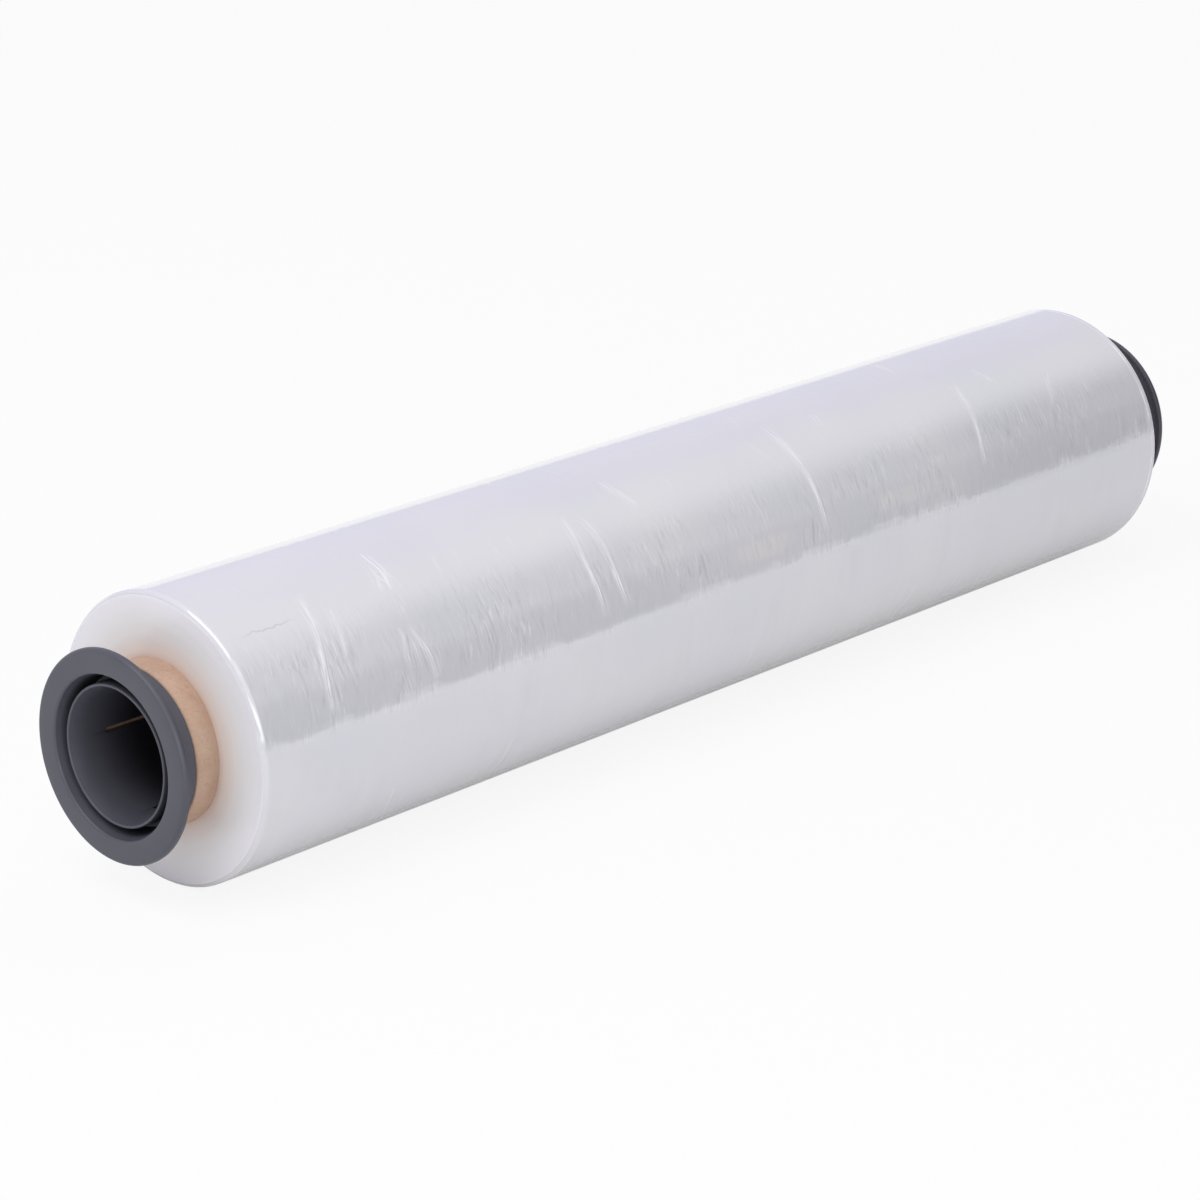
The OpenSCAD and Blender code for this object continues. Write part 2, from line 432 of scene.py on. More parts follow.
def bevel(piece, width, steps, degrees):
    """Rounds every edge sharper than the angle with a Bevel modifier, and applies it."""
    only(piece)
    modifier = piece.modifiers.new("rounding", "BEVEL")
    modifier.width = width
    modifier.segments = steps
    modifier.limit_method = "ANGLE"
    modifier.angle_limit = math.radians(degrees)
    bpy.ops.object.modifier_apply(modifier=modifier.name)


bevel(core, width=0.12 * MM, steps=2, degrees=30)
smooth(core, 35)
report(core)

# %% [markdown]
# The plug is one moulding and the piece with the most form. Seen from the open end, a wide
# thin flange rounds into a groove, and in the groove stands the thin rim of a sleeve whose
# mouth flares. Behind the flange a flare runs down to a hub, which meets the core. The
# sleeve carries on inside the core, where it turns. All of it is one closed profile, so it
# is turned too: from the lip out over the flange, down the hub, along the sleeve, back
# through its bore, round the rim and up the groove's outer wall.

# %% Plug: sizes of the profile
SLEEVE_R = 25.0 * MM
SLEEVE_WALL = 2.4 * MM
BORE_R = SLEEVE_R - SLEEVE_WALL
RIM_WALL = 1.1 * MM
RIM_RECESS = 2.1 * MM
MOUTH_LEN = 8 * MM
FLANGE_R = 37.5 * MM
FLANGE_T = 2.8 * MM
FRONT_ROUND = 1.5 * MM
BACK_ROUND = 0.8 * MM
HUB_R = 28.5 * MM
HUB_LEN = 12.8 * MM
HUB_WALL = 1.9 * MM
FLARE_R = 6 * MM
GROOVE_W = 3.6 * MM
LIP_R = 1 * MM
WEB_T = 2.2 * MM
TIP_CHAMFER = 1 * MM
PLUG_SEGMENTS = 144

rim_round = RIM_WALL / 2
mouth_r = SLEEVE_R + GROOVE_W
mouth_end = RIM_RECESS + MOUTH_LEN
mouth_rise = SLEEVE_WALL - RIM_WALL
mouth_run = MOUTH_LEN - rim_round
mouth_arc = (mouth_rise ** 2 + mouth_run ** 2) / (2 * mouth_rise)
mouth_turn = math.degrees(math.asin(mouth_run / mouth_arc))
sleeve_end = plug_high.x - plug_low.x
print("plug length mm", round(sleeve_end / MM, 2))
print("mouth flares by degrees", round(mouth_turn, 1))

# %% [markdown]
# The profile is a list of depths behind the flange's face and radii. The roundings, the
# flare, the mouth and the rim are arcs. The straight stretches of the sleeve get a few
# points in between, because long thin faces shade badly where the slots cut into them.

# %% Plug: turn the moulding
OUTER_STEPS = 4
BORE_STEPS = 6
rim_depth = RIM_RECESS + rim_round
plug_profile = arc(LIP_R, mouth_r + LIP_R, LIP_R, -180, -90, 5)
plug_profile += arc(FRONT_ROUND, FLANGE_R - FRONT_ROUND, FRONT_ROUND, -90, 0, 6)
plug_profile += arc(FLANGE_T - BACK_ROUND, FLANGE_R - BACK_ROUND, BACK_ROUND, 0, 90, 4)
plug_profile += arc(FLANGE_T + FLARE_R, HUB_R + FLARE_R, FLARE_R, -90, -180, 10)
plug_profile += [(HUB_LEN, HUB_R), (HUB_LEN, SLEEVE_R)]
outer_run = sleeve_end - 2 * TIP_CHAMFER - HUB_LEN
plug_profile += [(HUB_LEN + outer_run * i / OUTER_STEPS, SLEEVE_R)
                 for i in range(1, OUTER_STEPS + 1)]
plug_profile += [(sleeve_end, SLEEVE_R - TIP_CHAMFER), (sleeve_end, BORE_R)]
plug_profile += [(sleeve_end - (sleeve_end - mouth_end) * i / BORE_STEPS, BORE_R)
                 for i in range(1, BORE_STEPS)]
plug_profile += arc(mouth_end, BORE_R + mouth_arc, mouth_arc, 180, 180 + mouth_turn, 10)
plug_profile += arc(rim_depth, SLEEVE_R - rim_round, rim_round, -180, 0, 8)[1:]
plug_profile += [(HUB_LEN - WEB_T, SLEEVE_R), (HUB_LEN - WEB_T, HUB_R - HUB_WALL)]
plug_profile += [(LIP_R, mouth_r)]
plug_profile = [(face_x + depth, size) for depth, size in plug_profile]
left_plug = turn("left_grip_plug", plug_profile, PLUG_SEGMENTS)
report(left_plug)

# %% [markdown]
# Four slots split the sleeve into springy fingers, which is what lets a hand brake the core.
# Each slot is open at the tip and round at its closed end. One cutter is modelled from
# a cube whose two upright edges at the closed end are bevelled into a half round, and
# turned copies of it make the other three. A Boolean modifier takes all four out at once.

# %% Plug: cut the slots
SLOT_W = 2 * MM
SLOT_START = 17 * MM
SLOT_COUNT = 4
SLOT_TURN = 2.6
SLOT_REACH = 8 * MM
PAST_TIP = 5 * MM
NEARLY_HALF = 0.499
ROUND_STEPS = 10

slot_from = face_x + SLOT_START
slot_to = face_x + sleeve_end + PAST_TIP
bpy.ops.object.select_all(action="DESELECT")
bpy.ops.mesh.primitive_cube_add(size=1, location=((slot_from + slot_to) / 2, SLEEVE_R, AXIS_Z))
cutter = bpy.context.object
cutter.scale = (slot_to - slot_from, SLOT_REACH, SLOT_W)
bpy.ops.object.transform_apply(location=True, rotation=True, scale=True)
bpy.ops.object.mode_set(mode="EDIT")
pick("edges", lambda edge: all(abs(v.co.x - slot_from) < MM for v in edge.verts)
     and abs(edge.verts[0].co.y - edge.verts[1].co.y) > MM)
bpy.ops.mesh.bevel(offset=NEARLY_HALF * SLOT_W, segments=ROUND_STEPS, affect="EDGES")
bpy.ops.mesh.select_all(action="SELECT")
quarter = 2 * math.pi / SLOT_COUNT
for i in range(SLOT_COUNT - 1):
    bpy.ops.mesh.duplicate()
    bpy.ops.transform.rotate(value=quarter, orient_axis="X", center_override=AXIS)
bpy.ops.mesh.select_all(action="SELECT")
bpy.ops.transform.rotate(value=math.radians(SLOT_TURN), orient_axis="X", center_override=AXIS)
bpy.ops.object.mode_set(mode="OBJECT")

only(left_plug)
cut = left_plug.modifiers.new("slots", "BOOLEAN")
cut.operation = "DIFFERENCE"
cut.solver = "EXACT"
cut.object = cutter
bpy.ops.object.modifier_apply(modifier=cut.name)
bpy.data.objects.remove(cutter)
bevel(left_plug, width=0.15 * MM, steps=2, degrees=50)
smooth(left_plug, 40)
report(left_plug)

# %% [markdown]
# The right plug is the same moulding, turned round to face the other way. It is a copy with
# a mesh of its own, turned half way about the vertical line through the middle of the roll,
# with the turn applied to the mesh so that the object itself stays straight.

# %% Plug: the second one
only(left_plug)
bpy.ops.object.duplicate()
right_plug = bpy.context.object
right_plug.name = "right_grip_plug"
right_plug.rotation_euler.z = math.pi
bpy.ops.object.transform_apply(location=True, rotation=True, scale=True)
report(right_plug)

# %% [markdown]
# Materials are node trees, and a pattern on a surface is a sum of many nodes. Written node
# by node such a sum can't be read, so a small class stands for a number that varies over
# the surface: adding, subtracting and multiplying two of them adds the Math nodes. Patterns
# read Object coordinates, in metres, so a scale of 400 means 400 cells to the metre, each
# 2.5 mm long.

# %% Helpers for materials: nodes and sums
def fill(node, inputs):
    """Gives a node its inputs: a socket or a pattern is linked, any other value is set."""
    for name, value in inputs.items():
        if isinstance(value, Pattern):
            value = value.socket
        if isinstance(value, bpy.types.NodeSocket):
            node.id_data.links.new(value, node.inputs[name])
        else:
            node.inputs[name].default_value = value
    return node


def add(tree, kind, inputs=None, **settings):
    """Adds a node with these settings and inputs."""
    node = tree.nodes.new("ShaderNode" + kind)
    for name, value in settings.items():
        setattr(node, name, value)
    return fill(node, inputs or {})


class Pattern:
    """A number that varies over a surface. Sums with it add Math nodes to its tree."""

    def __init__(self, socket):
        self.socket = socket
        self.tree = socket.id_data

    def maths(self, operation, *values):
        """A Math node on this pattern and on other patterns or numbers."""
        inputs = dict(enumerate((self, *values)))
        return Pattern(add(self.tree, "Math", inputs, operation=operation).outputs[0])

    def __add__(self, other):
        return self.maths("ADD", other)

    def __sub__(self, other):
        return self.maths("SUBTRACT", other)

    def __rsub__(self, other):
        return self * -1.0 + other

    def __mul__(self, other):
        return self.maths("MULTIPLY", other)

    def __truediv__(self, other):
        return self.maths("DIVIDE", other)

    def __abs__(self):
        return self.maths("ABSOLUTE")


# %% [markdown]
# A mask is a pattern that is 1 in some part of the surface and 0 elsewhere, with a soft
# change between. A Map Range node makes one of any number, such as a height or a distance.

# %% Helpers for materials: masks
def between(pattern, low, high):
    """0 at low and 1 at high, with a soft start and end."""
    limits = {"Value": pattern, "From Min": low, "From Max": high}
    node = add(pattern.tree, "MapRange", limits, interpolation_type="SMOOTHSTEP")
    return Pattern(node.outputs[0])


def near_line(pattern, reach):
    """1 where the pattern is 0, falling to 0 at this distance on either side."""
    return between(abs(pattern), reach, 0.3 * reach)


def largest(first, *others):
    """The largest of these, point by point."""
    for other in others:
        first = first.maths("MAXIMUM", other)
    return first


def spread(pattern, low, high):
    """Stretches a pattern of 0 to 1, so that it runs from low to high."""
    node = add(pattern.tree, "MapRange", {"Value": pattern, "To Min": low, "To Max": high})
    return Pattern(node.outputs[0])


# %% [markdown]
# A place is a vector, which nodes take apart and put together. Noise is stretched by
# scaling the place that it reads, so its round cells become long ones.

# %% Helpers for materials: places
def split(place):
    """The X, Y and Z of a place."""
    return [Pattern(output) for output in add(place.id_data, "SeparateXYZ", {0: place}).outputs]


def join(x, y, z):
    """A place made of its X, Y and Z."""
    return add(x.tree, "CombineXYZ", {0: x, 1: y, 2: z}).outputs[0]


def vector_maths(place, operation, *values):
    """The outputs of a Vector Math node on this place and other values."""
    inputs = dict(enumerate((place, *values)))
    return add(place.id_data, "VectorMath", inputs, operation=operation).outputs


def from_axis(place):
    """Distance from the roll's axis, in metres."""
    centred = vector_maths(place, "SUBTRACT", AXIS)[0]
    flat = vector_maths(centred, "MULTIPLY", (0, 1, 1))[0]
    return Pattern(vector_maths(flat, "LENGTH")["Value"])


def cells(place, scale, detail=2.0, rough=0.5, twist=0.0):
    """Noise with so many cells to the metre along X, Y and Z."""
    stretched = add(place.id_data, "Mapping", {"Vector": place, "Scale": scale}).outputs[0]
    return Pattern(add(place.id_data, "TexNoise", {
        "Vector": stretched, "Scale": 1.0, "Detail": detail, "Roughness": rough,
        "Distortion": twist}).outputs["Fac"])


# %% [markdown]
# A pattern is seen as colour, by a Color Ramp or a Mix node, or as relief, by a Bump node,
# which tilts the light where the pattern rises.

# %% Helpers for materials: colour and relief
def ramp(pattern, *stops):
    """A Color Ramp with stops of (position, (red, green, blue))."""
    node = add(pattern.tree, "ValToRGB", {"Fac": pattern})
    elements = node.color_ramp.elements
    elements[0].position, elements[1].position = stops[0][0], stops[-1][0]
    for position, _ in stops[1:-1]:
        elements.new(position)
    for element, (_, colour) in zip(elements, stops):
        element.color = (*colour, 1)
    return node.outputs["Color"]


def blend(amount, first, second):
    """Mixes two colours, each one a socket or (red, green, blue)."""
    colours = [colour if isinstance(colour, bpy.types.NodeSocket) else (*colour, 1)
               for colour in (first, second)]
    inputs = {"Factor": amount, 6: colours[0], 7: colours[1]}
    return add(amount.tree, "Mix", inputs, data_type="RGBA").outputs[2]


def bump(height, distance, normal=None):
    """A Bump node whose height 0 to 1 stands for this distance in metres."""
    inputs = {"Height": height, "Distance": distance, "Strength": 1.0}
    if normal is not None:
        inputs["Normal"] = normal
    return add(height.tree, "Bump", inputs).outputs[0]


def new_material(name, constants):
    """A material, its shader with these constants, and its Object coordinates."""
    material = bpy.data.materials.new(name)
    material.use_nodes = True
    shader = fill(material.node_tree.nodes["Principled BSDF"], constants)
    place = add(material.node_tree, "TexCoord").outputs["Object"]
    return material, shader, place


def dress(piece, *materials):
    """Gives the piece these materials, in this order."""
    piece.data.materials.clear()
    for material in materials:
        piece.data.materials.append(material)


# %% [markdown]
# Wound stretch film is milky, because light passes through many clear turns and comes back,
# and glossy, because every turn adds its own mirror. So the skin has a nearly polished coat
# over a pale, faintly lavender body, whose tone drifts in slow patches. The wall mirrors
# the table in front of it up to one crisp line, and above the line a darker room. Most of
# what follows plays in that dark band, so its height is named first.

# %% Film skin: body and dark band
skin, shader, place = new_material("film_skin", {
    "IOR": 1.5, "Specular IOR Level": 0.5, "Coat Weight": 1.0, "Coat Roughness": 0.05,
    "Coat IOR": 1.75,
})
x, y, z = split(place)
body = ramp(cells(place, (16, 22, 22), detail=1.0), (0.3, (0.68, 0.68, 0.725)),
            (0.5, (0.705, 0.695, 0.73)), (0.7, (0.725, 0.715, 0.735)))
TABLE_LINE_Z = 61.3 * MM
BAND_BOTTOM = (57.0 * MM, 60.5 * MM)
BAND_TOP = (95 * MM, 80 * MM)
dark_band = between(z, *BAND_BOTTOM) * between(z, *BAND_TOP)
uneven = between(cells(place, (34, 40, 40), detail=3.0), 0.40, 0.60)
crinkled = dark_band * (uneven * 0.75 + 0.25)
print("table line at height mm", round(TABLE_LINE_Z / MM, 1))

# %% [markdown]
# Between its creases the front is full of short strokes that the rows of the mesh can't
# hold, so they are colour and bump. Their colour is painted light and shade, only in the
# dark band: the light strokes are painted glints and the dark ones painted shade of the
# crinkled skin. They are the crests and the valleys of noise in long thin cells, in two
# layers, each with another lean, and they crowd where the wall is uneven.

# %% Film skin: short strokes
GLINT_STROKES = (1150, (0.59, 0.68))
SHADE_STROKES = (900, (0.44, 0.32))
STROKE_LAYERS = ((0.06, 1.0, 80), (-0.22, 0.8, 110))


def stroke_noise(lean, across_cells, round_cells):
    """Noise in long cells that run round the roll with a little lean."""
    return cells(join(x + z * lean, y, z), (across_cells, round_cells, round_cells),
                 detail=2.5, rough=0.6)


def strokes(across_cells, limits):
    """Short strokes, where the noise of either layer passes these limits."""
    layers = [between(stroke_noise(lean, share * across_cells, round_cells), *limits)
              for lean, share, round_cells in STROKE_LAYERS]
    return crinkled * largest(*layers)


# The light strokes are painted glints and the dark ones painted shade.
glint_strokes = strokes(*GLINT_STROKES)
shade_strokes = strokes(*SHADE_STROKES)
print("stroke layers", len(STROKE_LAYERS))

# %% [markdown]
# Along its creases the film is drawn tight, and there it catches the light in bundles of thin
# bright threads, which are painted highlights in the colour, with a little bump at the crest.
# The mesh carries the distance to the nearest crease, in millimetres, and the strength there.
# A bundle is one main line, two companions that sway beside it and break off, and fainter
# threads combed out of noise that runs along with the crease. The same comb makes the main
# line uneven, and ends each thread at a place of its own.

# %% Film skin: painted highlights along the creases
MAIN_REACH = 0.75
COMPANION_REACH = 0.22
COMPANION_PLACES = (1.2, -1.3)
SWAY = 5
COMB_REACH = (3.4, 0.6)
RAGGED = 0.2
across = Pattern(add(skin.node_tree, "Attribute", attribute_name="across_mm").outputs["Fac"])
strength = Pattern(add(skin.node_tree, "Attribute", attribute_name="pinch").outputs["Fac"])
comb = between(cells(join(across * MM, y, z), (1300, 45, 45), detail=2.5, rough=0.6), 0.46, 0.60)
swaying = across - (cells(place, (9, 38, 38)) - 0.5) * SWAY
broken = between(cells(place, (11, 60, 60)), 0.38, 0.55)
companions = largest(*[near_line(swaying - side, COMPANION_REACH) for side in COMPANION_PLACES])
main_line = near_line(across, MAIN_REACH) * (comb * 0.55 + 0.45)
beside = comb * between(abs(across), *COMB_REACH)
# Painted highlights: the threads are white lines laid into the colour.
thread_highlights = largest(main_line, companions * broken * 0.85, beside * 1.1)
thread_highlights = thread_highlights * largest(strength - (1.0 - comb) * RAGGED, 0.0)
crest = between(abs(across), 0.8, 0.0) * strength
print("threads beside each crease up to mm", COMB_REACH[0])

# %% [markdown]
# Where the turns roll over at the far end the film shines in two thin lines, on a lighter
# patch, both painted highlights. The strip just above the table line has painted shade in
# the near half, and the whole band has painted shade at the far end. Low on the wall run
# faint streaks.

# %% Film skin: far edge, shade and streaks
ROLLED_LINES = (1.1 * MM, 3.3 * MM)
ROLLED_REACH = 0.6 * MM
STRIP_BOTTOM = (60 * MM, 62 * MM)
STRIP_TOP = (83 * MM, 78 * MM)
STRIP_RAGGED = 12 * MM
from_far_end = x - film_right
rolled_edge = largest(*[near_line(from_far_end + inward, ROLLED_REACH) for inward in ROLLED_LINES])
rolled_edge = rolled_edge * (broken * 0.75 + 0.25)
# Painted highlights: the crease threads and the two lines of the rolled edge.
painted_highlights = largest(thread_highlights, rolled_edge * 0.9)
edge_glow = between(from_far_end, -6.5 * MM, -2 * MM) * between(z, 60 * MM, 67 * MM)
edge_glow = edge_glow * between(z, 90 * MM, 80 * MM)
ragged_height = z + stroke_noise(0.0, 160, 30) * STRIP_RAGGED
in_strip = between(z, *STRIP_BOTTOM) * between(ragged_height, *STRIP_TOP)
near_half = between(x, 20 * MM, -100 * MM) * 0.10
far_part = between(x, 80 * MM, 180 * MM) * 0.14
# Painted shade in the strip and at the far end of the band.
shade = in_strip * near_half + dark_band * far_part
low_streaks = between(cells(place, (90, 22, 22), detail=4.0), 0.40, 0.75)
low_streaks = low_streaks * between(z, 60.5 * MM, 56 * MM) * uneven
print("rolled edge lines", len(ROLLED_LINES))

# %% [markdown]
# Two patches of the band mirror something warm, broken up by the strokes, and near the left
# end a short wavering line shows where the film's loose end may lie. All these tints are
# laid over the body one after another, the brightest last.

# %% Film skin: warm patches, loose end and the tints
WARM_PATCHES = ((0, 20 * MM, 68.8 * MM), (83 * MM, 24 * MM, 70 * MM))
WARM_HALF_HEIGHT = 4.5 * MM
LOOSE_END_X = -230 * MM
LOOSE_END_Z = 91.5 * MM
LOOSE_END_WAVER = 3 * MM
warm = largest(*[near_line(x - middle, reach) * near_line(z - height, WARM_HALF_HEIGHT)
                 for middle, reach, height in WARM_PATCHES])
warm = warm * between(cells(place, (420, 60, 60), detail=2.0), 0.28, 0.66)
wavering = cells(place, (260, 0, 0), detail=3.0) * LOOSE_END_WAVER
loose_end = near_line(z - LOOSE_END_Z - wavering, 0.3 * MM)
loose_end = loose_end * near_line(x - LOOSE_END_X, 14 * MM) * between(y, 0.0, -10 * MM)
# Of these tints, the edge glow, the light strokes and the last highlights are painted light, the
# warm patches a painted reflection, and the shade and the dark strokes painted shade.
for amount, tint in (
    (edge_glow * 0.45, (0.86, 0.86, 0.93)),
    (shade, (0.35, 0.34, 0.38)),
    (low_streaks * 0.10, (0.45, 0.44, 0.48)),
    (warm * 0.5, (0.84, 0.815, 0.76)),
    (loose_end * 0.28, (0.30, 0.29, 0.34)),
    (shade_strokes * 0.34, (0.42, 0.41, 0.46)),
    (glint_strokes * 0.42, (0.93, 0.93, 0.95)),
    (painted_highlights, (0.97, 0.97, 0.985)),
):
    body = blend(amount, body, tint)
print("warm patches", len(WARM_PATCHES))

# %% [markdown]
# The finest relief is bump. The body and the coat over it have their own, because the coat
# shows it far more: its mirror image of the table line is jagged by every small stroke.

# %% Film skin: relief and gloss
fine_streaks = cells(place, (420, 60, 60), detail=4.0, rough=0.65, twist=0.5)
rough_skin = fine_streaks * (crinkled + 0.06)
jags = cells(place, (620, 120, 120), detail=3.0) * near_line(z - TABLE_LINE_Z, 4.5 * MM) * crinkled
crest_normal = bump(crest + painted_highlights * 0.25, 0.11 * MM)
coat_normal = bump(rough_skin, 0.2 * MM, crest_normal)
coat_normal = bump(glint_strokes - shade_strokes, 0.025 * MM, coat_normal)
fill(shader, {
    "Base Color": body,
    "Roughness": spread(fine_streaks, 0.07, 0.14),
    "Normal": bump(rough_skin, 0.06 * MM, crest_normal),
    "Coat Normal": bump(jags, 1.1 * MM, coat_normal),
})
print("film skin nodes", len(skin.node_tree.nodes))

# %% [markdown]
# The cut ends are another surface: thousands of film edges side by side, like the end of
# a paper roll made of wax. They are satin, and near the core the brown board glows through,
# so the colour runs from tan to milk white with the distance from the axis, and greys a
# little at the rounded edge. Fine rings follow the turns. Subsurface scattering softens the
# light as the real film does.

# %% Film ends
RINGS_PER_METRE = 2200
RING_H = 0.015 * MM
WANDER = 2 * MM
ends, shader, place = new_material("film_cut_ends", {
    "IOR": 1.5, "Specular IOR Level": 0.5, "Coat Weight": 0.5, "Coat Roughness": 0.18,
    "Subsurface Weight": 0.25, "Subsurface Scale": 0.006, "Subsurface Radius": (1.0, 0.9, 0.8),
    "Roughness": 0.35,
})
out = from_axis(place)
shifted = out + (cells(place, (30, 30, 30)) - 0.5) * WANDER
milk = ramp((shifted - CORE_R) / (FILM_R - CORE_R), (0.0, (0.82, 0.66, 0.57)),
            (0.12, (0.86, 0.77, 0.71)), (0.35, (0.89, 0.86, 0.84)), (0.6, (0.89, 0.88, 0.88)),
            (0.88, (0.87, 0.86, 0.89)), (0.95, (0.82, 0.81, 0.85)))
rings = add(ends.node_tree, "TexNoise", {"W": out * RINGS_PER_METRE, "Scale": 1.0, "Detail": 3.0},
            noise_dimensions="1D")
fill(shader, {"Base Color": milk, "Normal": bump(Pattern(rings.outputs["Fac"]), RING_H)})
print("film end nodes", len(ends.node_tree.nodes))

# %% [markdown]
# The two film materials meet where the cut end turns into the round shoulder. Faces are
# given the end material by their place: all that lie nearer the axis than the shoulder,
# with the shoulder's first step among them, which still shows cut edges.

# %% Film: which face takes which
dress(film, skin, ends)
shoulder_start = FILM_R - 0.8 * EDGE_R
for face in film.data.polygons:
    face_radius = math.hypot(face.center.y, face.center.z - AXIS_Z)
    face.material_index = 1 if face_radius < shoulder_start else 0
print("end faces", sum(face.material_index for face in film.data.polygons))

# %% [markdown]
# The core's board is brown and dull, with pulp fibres, darker specks, and the faint helical
# line where one ply meets the next. The fibre noise also drives a small bump. In front the
# board has painted shade: it is darker on the front side, and more so towards the film,
# where the corner gets less light.

# %% Board
PLY_PITCH = 110 * MM
PLY_START = 7.93
SEAM_HALF_WIDTH = 0.006
board, shader, place = new_material("core_board", {
    "IOR": 1.45, "Specular IOR Level": 0.3, "Roughness": 0.85,
})
x, y, z = split(vector_maths(place, "SUBTRACT", AXIS)[0])
fibres = cells(place, (420, 800, 800), detail=5.0, rough=0.7, twist=0.25)
blotches = cells(place, (60, 60, 60), detail=3.0)
specks = between(cells(place, (1500, 1500, 1500), detail=1.5), 0.60, 0.72)
turns = x / PLY_PITCH + y.maths("ARCTAN2", z) / (2 * math.pi) + PLY_START
seam = between(abs(turns.maths("FRACT") - 0.5), SEAM_HALF_WIDTH, 0.0)
tone = fibres * 0.35 + blotches * 0.65 - seam * 0.06
kraft = ramp(tone, (0.25, (0.43, 0.275, 0.19)), (0.5, (0.55, 0.375, 0.28)),
             (0.75, (0.63, 0.47, 0.37)))
past_film = largest(film_left - x, x - film_right)
# Painted shade: the front of the board is darker, and more so near the film.
front = between(y, -8 * MM, -28 * MM) * between(z, -21 * MM, -6 * MM)
corner_shade = between(past_film, 7 * MM, 0.5 * MM) * 0.28 + 0.16
kraft = blend(front * corner_shade, kraft, (0.286, 0.18, 0.112))
kraft = blend(specks * 0.30, kraft, (0.26, 0.15, 0.09))
fill(shader, {"Base Color": kraft, "Normal": bump(tone, 0.04 * MM)})
dress(core, board)
print("board nodes", len(board.node_tree.nodes))

# %% [markdown]
# The plugs are dark grey plastic with a satin face, as it comes out of a mould: a very fine
# grain and a slow unevenness in the gloss. A little colour variation keeps the flat flange
# from looking painted. Deep in the bore, in the groove and behind the flange little light
# arrives, so painted shade makes the plastic near black there. The masks for that go by the
# distance from the axis and from the end.

# %% Plug plastic
GRAIN_H = 0.012 * MM
GROOVE_TAPER = 0.2
plastic, shader, place = new_material("plug_plastic", {"IOR": 1.5, "Specular IOR Level": 0.5})
cloudy = cells(place, (45, 45, 45), detail=4.0, rough=0.6)
grain = cells(place, (1800, 1800, 1800))
grey = ramp(cloudy, (0.3, (0.070, 0.070, 0.090)), (0.7, (0.084, 0.084, 0.105)))
out = from_axis(place)
end_gap = -face_x - abs(split(place)[0])
in_bore = between(out, 24.7 * MM, 24.2 * MM) * between(end_gap, 11 * MM, 34 * MM)
in_groove = between(out + end_gap * GROOVE_TAPER, 29.8 * MM, 29.2 * MM)
in_groove = in_groove * between(end_gap, 2 * MM, 8 * MM) * between(out, 24.2 * MM, 24.8 * MM)
flange_back = between(out, 35.0 * MM, 35.8 * MM) * between(end_gap, 1.6 * MM, 2.4 * MM)
# Painted shade, near black, where little light reaches the plastic.
recess_shade = largest(in_bore, in_groove, flange_back * 0.35) * between(end_gap, 70 * MM, 60 * MM)
grey = blend(recess_shade * 0.88, grey, (0.005, 0.005, 0.008))
fill(shader, {"Base Color": grey, "Roughness": spread(cloudy, 0.36, 0.5),
              "Normal": bump(grain, GRAIN_H)})
dress(left_plug, plastic)
dress(right_plug, plastic)
print("plastic nodes", len(plastic.node_tree.nodes))

# %% [markdown]
# Each row names a piece, the body that it moves with, the CAD node that it stands for and a
# finish slot. The piece is hung on an empty for its body and the CAD node is hidden; the
# slot is not used here. The film and the core are one body, and each plug, which turns in
# the core, is a body of its own.

# %% Tie the pieces to the frame
for piece, body_name, node_name, slot_name in (
    (film, "roll", "film_roll", "film"),
    (core, "roll", "core_tube", "core_board"),
    (left_plug, "left_plug", "left_end_plug", "plug_plastic"),
    (right_plug, "right_plug", "right_end_plug", "plug_plastic"),
):
    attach(piece, body_name)
    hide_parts(node_name)
    print(piece.name, "rides on", body_name)

# %% [markdown]
# The roll lies on a white table that ends in front of it. A glossy wall mirrors its
# surroundings, so the table's front edge shows in the film as one crisp line along the
# roll. Below the line the film mirrors the table, above it the darker room. For the camera
# the floor adds white, so it runs into the white background, while the shadow of the roll
# stays. In mirrors it glows too, and more behind the roll than in front of it.

# %% Floor
FLOOR_FRONT = -0.65
FLOOR_BACK = 3.5
FLOOR_HALF = 4.0
CAMERA_LIFT = 0.88
MIRROR_FRONT = 0.2
MIRROR_BACK = 0.9
bpy.ops.object.select_all(action="DESELECT")
bpy.ops.mesh.primitive_plane_add(size=1, location=(0, (FLOOR_FRONT + FLOOR_BACK) / 2, 0))
floor = bpy.context.object
floor.name = "floor"
floor.scale = (2 * FLOOR_HALF, FLOOR_BACK - FLOOR_FRONT, 1)
bpy.ops.object.transform_apply(location=True, rotation=True, scale=True)
floor_material = bpy.data.materials.new("floor_white")
floor_material.use_nodes = True
tree = floor_material.node_tree
tree.nodes.clear()
floor_y = split(add(tree, "TexCoord").outputs["Object"])[1]
mirrored = between(floor_y, 0.0, 0.1) * (MIRROR_BACK - MIRROR_FRONT) + MIRROR_FRONT
path = add(tree, "LightPath").outputs
lift = largest(Pattern(path["Is Camera Ray"]) * CAMERA_LIFT,
               Pattern(path["Is Glossy Ray"]) * mirrored)
matt = add(tree, "BsdfDiffuse", {"Color": (0.86, 0.86, 0.86, 1)}).outputs[0]
glow = add(tree, "Emission", {"Color": (1, 1, 1, 1), "Strength": 1.0}).outputs[0]
mixed = add(tree, "MixShader", {"Fac": lift, 1: matt, 2: glow}).outputs[0]
add(tree, "OutputMaterial", {"Surface": mixed})
dress(floor, floor_material)
print("floor front edge at y", FLOOR_FRONT)

# %% [markdown]
# The light is that of a plain studio: a bright, even surround, a darker room in front of
# the table, and three lamps. The surround is the world, whose shade depends on the
# direction alone. The dark room ends beside the roll, so that nothing dark shows behind it,
# and it is black low down and dark grey above. Each zone of the world is a mask over
# directions, by the angle above the horizon or the side of an upright plane.

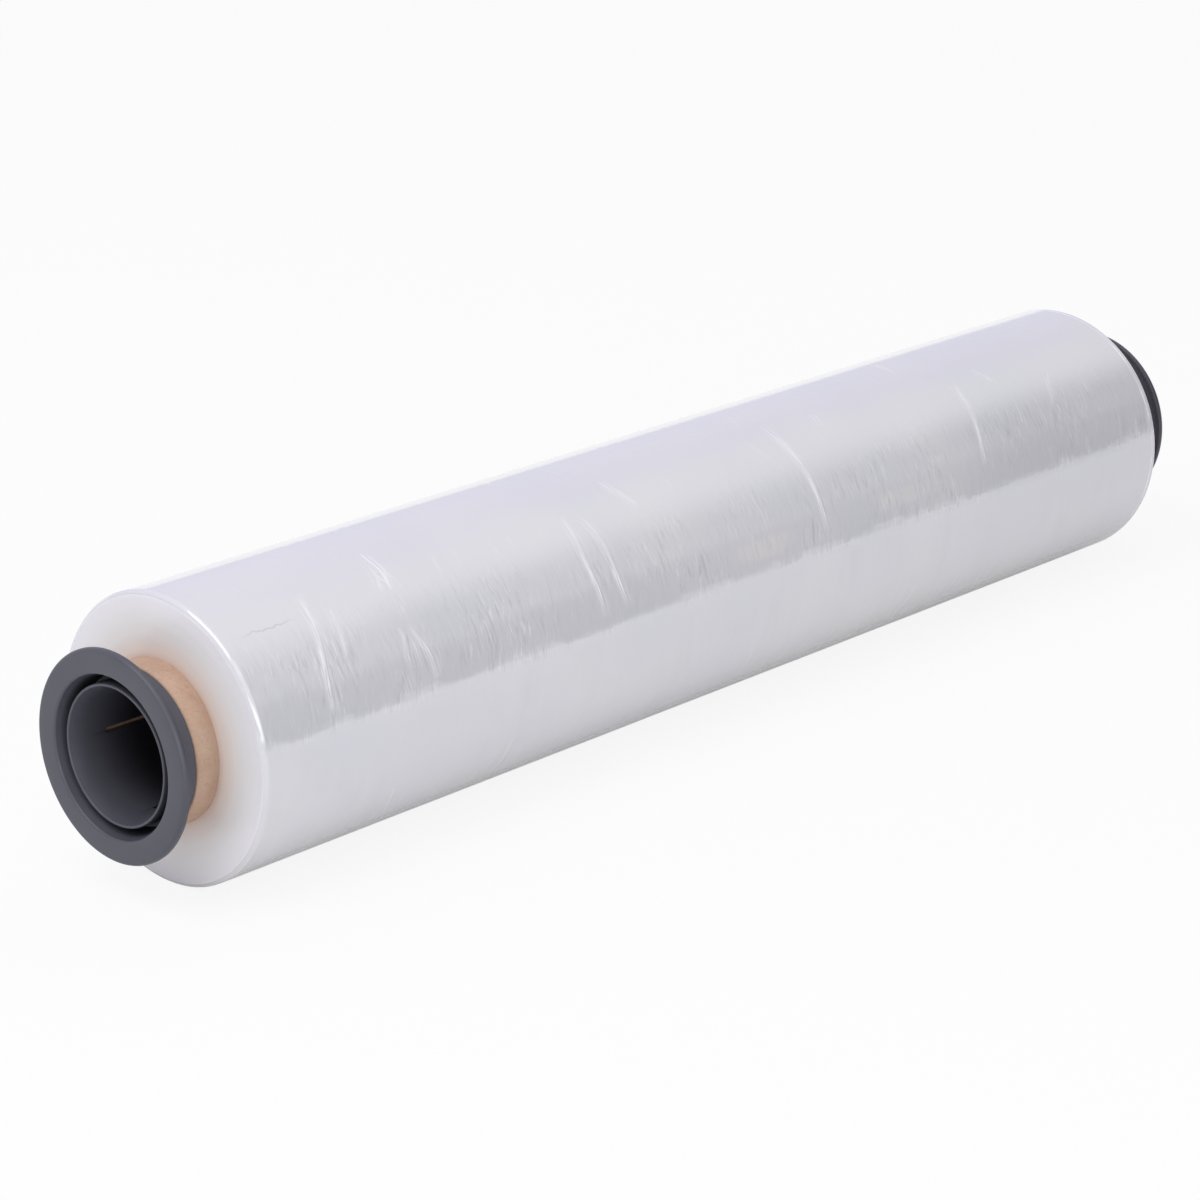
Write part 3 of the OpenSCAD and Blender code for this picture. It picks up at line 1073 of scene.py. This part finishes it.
# %% World: zones
ROOM_EDGE = (math.radians(80), math.radians(44))
GREY_EDGE = (math.radians(25), math.radians(29))
ROOM_SIDE = -70
BACK_SIDE = 5
world = bpy.data.worlds.new("studio")
bpy.context.scene.world = world
world.use_nodes = True
tree = world.node_tree
tree.nodes.clear()
direction = add(tree, "TexCoord").outputs["Generated"]
x, y, z = split(direction)


def clockwise_of(azimuth):
    """How far a direction lies clockwise of the upright plane at this azimuth, -1 to 1."""
    a = math.radians(azimuth)
    across_plane = (math.sin(a), -math.cos(a), 0)
    return Pattern(vector_maths(direction, "DOT_PRODUCT", across_plane)["Value"])


front_angle = z.maths("ARCTAN2", y * -1.0)
room = between(front_angle, *ROOM_EDGE) * between(clockwise_of(ROOM_SIDE), 0.06, -0.06)
room = room * between(y, 0.0, -0.1)
behind = between(clockwise_of(BACK_SIDE), 0.1, -0.3)
behind_table = behind * between(z, 0.13, 0.07)
viewer_side = between(x, -0.45, -0.8) * between(z, 0.6, 0.45)
under_table = between(z, 0.03, -0.03) * between(x, 0.0, -0.2)
print("room is dark up to degrees", round(math.degrees(ROOM_EDGE[1])))

# %% [markdown]
# The zones are laid over the surround one after another. For the camera the world is pure
# white, so that comes last.

# %% World: shades
WHITE = (1, 1, 1)
shown = blend(behind, (0.88, 0.88, 0.89), (0.74, 0.73, 0.86))
room_shade = blend(between(front_angle, *GREY_EDGE), (0.0, 0.0, 0.0), (0.15, 0.15, 0.15))
for amount, tint in (
    (behind_table, WHITE),
    (room, room_shade),
    (viewer_side, (0.6, 0.6, 0.62)),
    (under_table, (0.5, 0.5, 0.52)),
    (Pattern(add(tree, "LightPath").outputs["Is Camera Ray"]), WHITE),
):
    shown = blend(amount, shown, tint)
backdrop = add(tree, "Background", {"Color": shown, "Strength": 1.0})
add(tree, "OutputWorld", {"Surface": backdrop.outputs[0]})
print("world nodes", len(tree.nodes))

# %% [markdown]
# The lamps are area lights that face the near end. A soft box hangs high on the left and
# draws the bright line along the near shoulder of the film. A small fill light in front
# brightens the wall, and mirrors don't show it. A strip light, low and wide, gives the
# bright spot lower on the same shoulder. It is seen in mirrors alone, so it lights nothing.

# %% Lamps
NEAR_END = Vector((film_left, 0, AXIS_Z))


def soft_box(name, azimuth, elevation, distance, width, tall, radiance):
    """An area light that faces the near end; radiance 1 looks white in a mirror."""
    a, e = math.radians(azimuth), math.radians(elevation)
    away = Vector((math.cos(e) * math.cos(a), math.cos(e) * math.sin(a), math.sin(e)))
    light = bpy.data.lights.new(name, "AREA")
    light.shape = "RECTANGLE"
    light.size, light.size_y = width, tall
    light.energy = radiance * math.pi * width * tall
    lamp = bpy.data.objects.new(name, light)
    lamp.location = NEAR_END + away * distance
    lamp.rotation_euler = (-away).to_track_quat("-Z", "Y").to_euler()
    lamp.visible_camera = False
    bpy.context.collection.objects.link(lamp)
    print(name, "power W", round(light.energy, 1))
    return lamp


soft_box("soft_box_top", azimuth=180, elevation=62, distance=1.5, width=1.1, tall=0.8,
         radiance=2.7)
front_fill = soft_box("soft_box_fill", azimuth=-102, elevation=14.5, distance=1.2, width=0.40,
                      tall=0.40, radiance=3.8)
front_fill.visible_glossy = False
strip = soft_box("strip_light", azimuth=-131, elevation=14.0, distance=1.2, width=1.2,
                 tall=0.34, radiance=2.8)
strip.visible_diffuse = False
